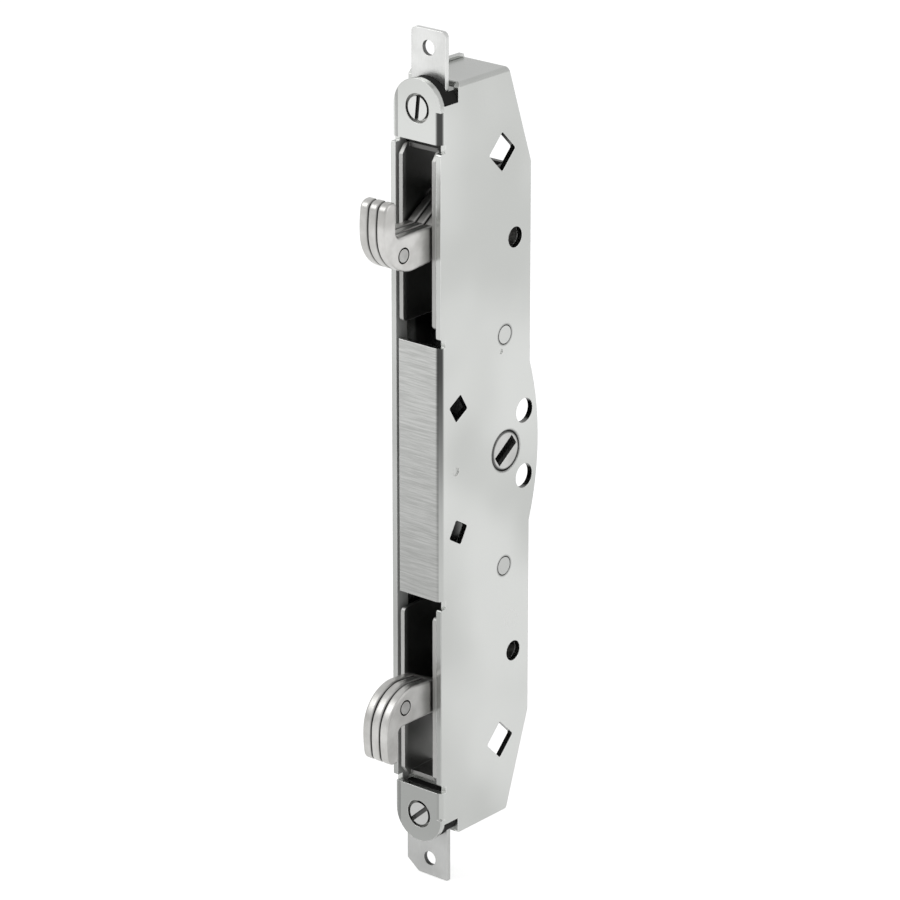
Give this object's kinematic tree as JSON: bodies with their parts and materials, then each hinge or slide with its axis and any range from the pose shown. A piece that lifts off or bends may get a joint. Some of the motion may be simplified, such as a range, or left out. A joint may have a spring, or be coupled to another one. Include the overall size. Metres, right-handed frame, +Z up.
{
  "type": "multipoint door lock",
  "caption": "Long narrow lock case with hook bolts that swing out of windows in its front when the hub with a slanted keyway is turned, and slotted adjusters that set its mounting tabs.",
  "frame": {"origin": "front face of the mounting tabs, midway between their two door screw holes, at the hub's height", "axes": "+X across the case towards the side plate seen in the picture, +Y into the door, away from the keeper, +Z up along the case"},
  "size_m": [0.0196, 0.0676, 0.2762],
  "materials": {
    "case_steel": "satin",
    "liner_steel": "satin",
    "hook_steel": "satin",
    "drive_steel": "zinc plated",
    "pin_steel": "turned",
    "tab_steel": "satin",
    "block_plastic": "matte"
  },
  "bodies": {
    "case": {"case_shell": "case_steel", "case_cover": "case_steel", "upper_hook_housing": "liner_steel", "upper_case_rivet": "pin_steel", "upper_handle_post": "pin_steel", "upper_end_block": "block_plastic", "upper_pivot_pin": "pin_steel", "upper_pivot_washers": "pin_steel", "lower_hook_housing": "liner_steel", "lower_case_rivet": "pin_steel", "lower_handle_post": "pin_steel", "lower_end_block": "block_plastic", "lower_pivot_pin": "pin_steel", "lower_pivot_washers": "pin_steel"},
    "hub": {"hub": "drive_steel", "hub_upper_pin": "pin_steel", "hub_lower_pin": "pin_steel"},
    "upper_bar": {"upper_drive_bar": "drive_steel"},
    "upper_hook": {"upper_hook_left_plate": "hook_steel", "upper_hook_centre_plate": "hook_steel", "upper_hook_right_plate": "hook_steel", "upper_hook_rivets": "pin_steel", "upper_crank_pin": "pin_steel"},
    "upper_screw": {"upper_adjusting_screw": "pin_steel"},
    "upper_tab": {"upper_mounting_tab": "tab_steel"},
    "lower_bar": {"lower_drive_bar": "drive_steel"},
    "lower_hook": {"lower_hook_left_plate": "hook_steel", "lower_hook_centre_plate": "hook_steel", "lower_hook_right_plate": "hook_steel", "lower_hook_rivets": "pin_steel", "lower_crank_pin": "pin_steel"},
    "lower_screw": {"lower_adjusting_screw": "pin_steel"},
    "lower_tab": {"lower_mounting_tab": "tab_steel"}
  },
  "joints": [
    {"name": "hub_turn", "type": "hinge", "parent": "case", "child": "hub", "pos_m": [0, 0.0259, 0], "axis": [1, 0, 0], "range_deg": [0, 90]},
    {"name": "upper_bar_slide", "type": "slide", "parent": "case", "child": "upper_bar", "axis": [0, 0, 1], "range_m": [0, 0.01415]},
    {"name": "upper_hook_swing", "type": "hinge", "parent": "case", "child": "upper_hook", "pos_m": [0, 0.0108, 0.082], "axis": [1, 0, 0], "range_deg": [0, 80.01]},
    {"name": "upper_screw_turn", "type": "hinge", "parent": "case", "child": "upper_screw", "pos_m": [0, -0.0022, 0.115], "axis": [0, -1, 0], "range_deg": [0, 540]},
    {"name": "upper_tab_slide", "type": "slide", "parent": "case", "child": "upper_tab", "axis": [0, 1, 0], "range_m": [0, 0.0012]},
    {"name": "lower_bar_slide", "type": "slide", "parent": "case", "child": "lower_bar", "axis": [0, 0, -1], "range_m": [0, 0.01415]},
    {"name": "lower_hook_swing", "type": "hinge", "parent": "case", "child": "lower_hook", "pos_m": [0, 0.0108, -0.082], "axis": [-1, 0, 0], "range_deg": [0, 80.01]},
    {"name": "lower_screw_turn", "type": "hinge", "parent": "case", "child": "lower_screw", "pos_m": [0, -0.0022, -0.115], "axis": [0, -1, 0], "range_deg": [0, 540]},
    {"name": "lower_tab_slide", "type": "slide", "parent": "case", "child": "lower_tab", "axis": [0, 1, 0], "range_m": [0, 0.0012]}
  ],
  "couplings": [
    {"joint": "upper_bar_slide", "follows": "hub_turn", "m_per_rad": 0.0090031},
    {"joint": "upper_hook_swing", "follows": "hub_turn", "ratio": 0.88889},
    {"joint": "upper_tab_slide", "follows": "upper_screw_turn", "m_per_rad": 0.00012732},
    {"joint": "lower_bar_slide", "follows": "hub_turn", "m_per_rad": 0.0090031},
    {"joint": "lower_hook_swing", "follows": "hub_turn", "ratio": 0.88889},
    {"joint": "lower_tab_slide", "follows": "lower_screw_turn", "m_per_rad": 0.00012732}
  ]
}
